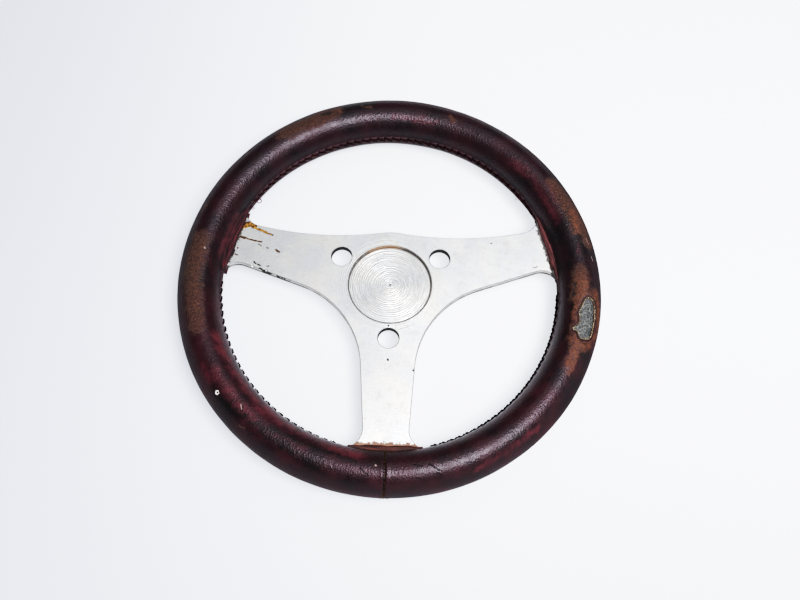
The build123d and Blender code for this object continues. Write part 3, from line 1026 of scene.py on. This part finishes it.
def core_material():
    """Dark grey moulded core, speckled where the worn hole bares it."""
    graph = Graph("moulded_core")
    speckle = graph.noise(0.95, 3, 0.7)
    cloudy = graph.noise(3.5)
    colour = graph.blend(graph.ramp(speckle, 0.38, 0.64), CORE_DARK, CORE_PALE)
    colour = graph.blend(graph.ramp(cloudy, 0.45, 0.65, 0.0, 0.6), colour, CORE_SHADE)
    return graph.surface(
        Base_Color=colour,
        Roughness=graph.ramp(speckle, 0.3, 0.7, 0.5, 0.75),
        Normal=graph.bump(graph.times(speckle, 0.25)),
    )


# ---- worn details
PUNCTURE_FIBRES = 40
CURL_TURN = 146.2
TORN_FIBRES = (0.11, 0.08, 0.05), (0.42, 0.37, 0.28)
PUNCTURE_RIM = (0.48, 0.45, 0.42), (0.85, 0.82, 0.78)
# Where each tuft of loose fibres sits, how many there are, and how long in millimetres.
TUFTS = ((38.0, 7, 2.2), (181.5, 2, 1.8), (150.5, 6, 2.0), (173.0, 4, 1.6))


def make_hole_fray(material):
    """Pale torn fibres round the edge of the worn hole."""
    outline = hole_outline()
    rng = random.Random("fray")
    builder = MeshBuilder()
    centre = outline.mean(0)
    for number in range(len(outline)):
        for _ in range(rng.choice((0, 1, 2, 3, 3))):
            share = rng.random()
            start = outline[number] * (1 - share) + outline[(number + 1) % len(outline)] * share
            inward = (centre - start) / np.linalg.norm(centre - start)
            sideways = np.array([-inward[1], inward[0]]) * rng.uniform(-0.6, 0.6)
            length = rng.uniform(0.35, 0.95)
            path = []
            for share in (0, 1 / 3, 2 / 3, 1):
                spot = start - inward * 0.15 + (inward + sideways) * length * share
                lift = -0.30 - 0.35 * share + rng.uniform(-0.08, 0.14)
                turn, section = spot[0] * MM / RIM_CENTRE, section_at(spot[1] * MM)
                path.append(Vector(rim_point(turn, section, lift * MM)))
            width = rng.uniform(0.08, 0.15) * MM
            builder.tube(path, [width, width * 0.9, width * 0.7, width * 0.35], 5)
    piece = builder.finish("torn_hole_fibres", material)


def fibre_material(name, shaded, lit):
    """Dry frayed fibres in a mix of two colours."""
    graph = Graph(name)
    mixed = graph.noise(1.2)
    return graph.surface(
        Base_Color=graph.blend(graph.ramp(mixed, 0.35, 0.65), shaded, lit),
        Roughness=graph.ramp(mixed, 0.3, 0.7, 0.7, 0.9),
    )


def make_puncture(material):
    """A small puncture in the skin, ringed with pale fibres round a grey centre."""
    rng = random.Random("puncture")
    builder = MeshBuilder()
    turn, section = PUNCTURE
    for angle in np.linspace(0, 2 * pi, PUNCTURE_FIBRES, endpoint=False):
        path = []
        for radius, lift in ((0.50, -0.20), (0.90, 0.10), (1.30, 0.12)):
            size = radius * rng.uniform(0.9, 1.15) * MM
            along = degrees(size * cos(angle) / RIM_CENTRE)
            across = degrees(size * 1.25 * sin(angle) / GRIP_HALF_HEIGHT)
            path.append(place_on_rim(turn + along, section + across, lift * MM))
        builder.tube(path, [0.13 * MM, 0.17 * MM, 0.11 * MM], 5)
    piece = builder.finish("puncture_fibres", material)


def make_loose_threads(material):
    """The curl, the tuft and the hair that have come loose from the sewing."""
    builder = MeshBuilder()
    curl = []
    for share in np.linspace(0, 1, 26):
        angle = -0.6 + 2 * pi * 1.15 * share
        base = place_on_rim(CURL_TURN, 180, 1.9 * MM)
        inward = -Vector((base.x, base.y, 0)).normalized()
        sideways = Vector((-inward.y, inward.x, 0))
        loop = inward * (1.4 * sin(angle) + 0.5) + sideways * (1.4 * cos(angle) - 1.2)
        curl.append(base + (loop + Vector((0, 0, 1.2 * share))) * MM)
    builder.tube(curl, [0.21 * MM] * len(curl), 6)
    rng = random.Random("tufts")
    for turn, count, length in TUFTS:
        for _ in range(count):
            base = place_on_rim(turn + rng.uniform(-0.7, 0.7), 178, 0.3 * MM)
            inward = -Vector((base.x, base.y, 0)).normalized()
            lean = Vector([rng.uniform(-0.7, 0.7) for _ in range(3)])
            path = []
            for share in np.linspace(0, 1, 5):
                droop = Vector((0, 0, -0.4 * share * share))
                path.append(base + (inward + lean * share + droop) * length * share * MM)
            builder.tube(path, [0.10 * MM, 0.10 * MM, 0.09 * MM, 0.07 * MM, 0.04 * MM], 5)
    piece = builder.finish("loose_thread_ends", material)


# ---- floor, light, camera
FLOOR_WHITE = (0.255, 0.255, 0.264)
FLOOR_GLOW = (0.70, 0.715, 0.745)
# Glow colours dimmed by painted shade to the left and in front.
FLOOR_GLOW_SHADED_LEFT = (0.465, 0.49, 0.545)
FLOOR_GLOW_SHADED_FRONT = (0.46, 0.48, 0.53)
FLOOR_HALF = 3.0
ROOM_COLOUR = (0.93, 0.96, 1.0, 1.0)
ROOM_STRENGTH = 0.16
# How bright a tone comes out, from black to white.
TONE_CURVE = [
    (0.0, 0.0), (0.03, 0.014), (0.09, 0.065), (0.17, 0.19), (0.31, 0.40),
    (0.58, 0.68), (0.83, 0.87), (1.0, 0.95),
]
ALL_CHANNELS = 3
CAMERA_PLACE = Vector((2.2, -209.5, 516.8)) * MM
CAMERA_TARGET = Vector((6.4, -9.5, 0.0)) * MM
CAMERA_ROLL = 2.69  # degrees
CAMERA_SENSOR, CAMERA_LENS = 36.0, 40.935  # millimetres


def make_floor(height):
    """A white table whose glow is painted light, with painted shade a little darker to the left and in
    front.
    """
    graph = Graph("pale_floor")
    x, y, _ = graph.split(graph.place)
    # Painted shade dims the floor's glow to the left and in front.
    shade_to_left = graph.ramp(x, -330, 80, 1.0, 0.0)
    shade_to_front = graph.ramp(y, -330, 20, 0.75, 0.0)
    colour = graph.blend(shade_to_left, FLOOR_GLOW, FLOOR_GLOW_SHADED_LEFT)
    colour = graph.blend(shade_to_front, colour, FLOOR_GLOW_SHADED_FRONT)
    graph.surface(
        Base_Color=FLOOR_WHITE,
        Roughness=0.8,
        Specular_IOR_Level=0.1,
        Emission_Color=colour,
        Emission_Strength=0.9,
    )
    mesh = bpy.data.meshes.new("floor")
    signs = ((-1, -1), (1, -1), (1, 1), (-1, 1))
    corners = [(side * FLOOR_HALF, end * FLOOR_HALF, height) for side, end in signs]
    mesh.from_pydata(corners, [], [(0, 1, 2, 3)])
    mesh.materials.append(graph.material)
    floor = put_in_scene("floor", mesh)


def area_light(name, place, size, power, colour):
    """A rectangular lamp that faces the middle of the wheel."""
    light = bpy.data.lights.new(name, "AREA")
    light.shape = "RECTANGLE"
    light.size, light.size_y = size
    light.energy = power
    light.color = colour
    lamp = put_in_scene(name, light)
    lamp.location = place
    lamp.rotation_euler = (-Vector(place)).to_track_quat("-Z", "Y").to_euler()


def make_light():
    """A dim room, with a strong lamp high in front and a weak one behind."""
    world = bpy.data.worlds.new("soft_room")
    world.use_nodes = True
    background = world.node_tree.nodes["Background"]
    background.inputs["Color"].default_value = ROOM_COLOUR
    background.inputs["Strength"].default_value = ROOM_STRENGTH
    scene.world = world
    area_light("key_softbox", (0.33, -0.32, 1.10), (0.56, 0.56), 18.4, (1.0, 0.975, 0.985))
    area_light("back_softbox", (0.22, 0.60, 1.25), (0.9, 0.8), 2.6, (0.94, 0.97, 1.0))


def set_tones():
    """Plain colours with the firm contrast of a studio picture."""
    view = scene.view_settings
    view.view_transform = "Standard"
    view.look = "None"
    view.use_curve_mapping = True
    curve = view.curve_mapping.curves[ALL_CHANNELS]
    curve.points[0].location = TONE_CURVE[0]
    curve.points[1].location = TONE_CURVE[-1]
    for place in TONE_CURVE[1:-1]:
        curve.points.new(*place)
    view.curve_mapping.update()


def make_camera():
    """The camera, above the near side of the wheel and looking down at it."""
    data = bpy.data.cameras.new("camera")
    data.sensor_width = CAMERA_SENSOR
    data.lens = CAMERA_LENS
    camera = put_in_scene("camera", data)
    aim = (CAMERA_TARGET - CAMERA_PLACE).to_track_quat("-Z", "Y").to_matrix().to_4x4()
    roll = Matrix.Rotation(radians(CAMERA_ROLL), 4, "Z")
    camera.matrix_world = Matrix.Translation(CAMERA_PLACE) @ aim @ roll
    scene.camera = camera


# ---- assembly
def paint_node(node, material):
    """Gives a CAD node that stays in view its finished material."""
    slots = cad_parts[node].material_slots
    for material_slot in slots:
        material_slot.material = material
    if not slots:
        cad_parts[node].data.materials.append(material)


make_camera()
make_light()
set_tones()

paint_node("spoke_frame", aluminium_material())
paint_node("rim_core", core_material())
make_cover(leather_material())

dark_thread = thread_material("dark_thread", *DARK_THREAD)
tan_thread = thread_material("worn_tan_thread", *TAN_THREAD)
wine_black_thread = thread_material("wine_black_thread", *WINE_BLACK_THREAD)
for arc_name in STITCH_ARCS:
    make_stitching(arc_name, wine_black_thread if arc_name == "top" else dark_thread)
make_butt_thread(tan_thread)

for spoke_name, (flap_base, flap_worn) in FLAP_COLOURS.items():
    flap_leather = flap_material(f"{spoke_name}_flap_leather", flap_base, flap_worn)
    for flap_side in ("front", "back"):
        make_flap(f"{spoke_name}_tongue_{flap_side}", spoke_name, flap_side, flap_leather)

make_hole_fray(fibre_material("torn_fibres", *TORN_FIBRES))
make_puncture(fibre_material("puncture_rim", *PUNCTURE_RIM))
make_loose_threads(thread_material("wine_thread", *WINE_THREAD))

visual_low, visual_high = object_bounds()
make_floor(visual_low.z)
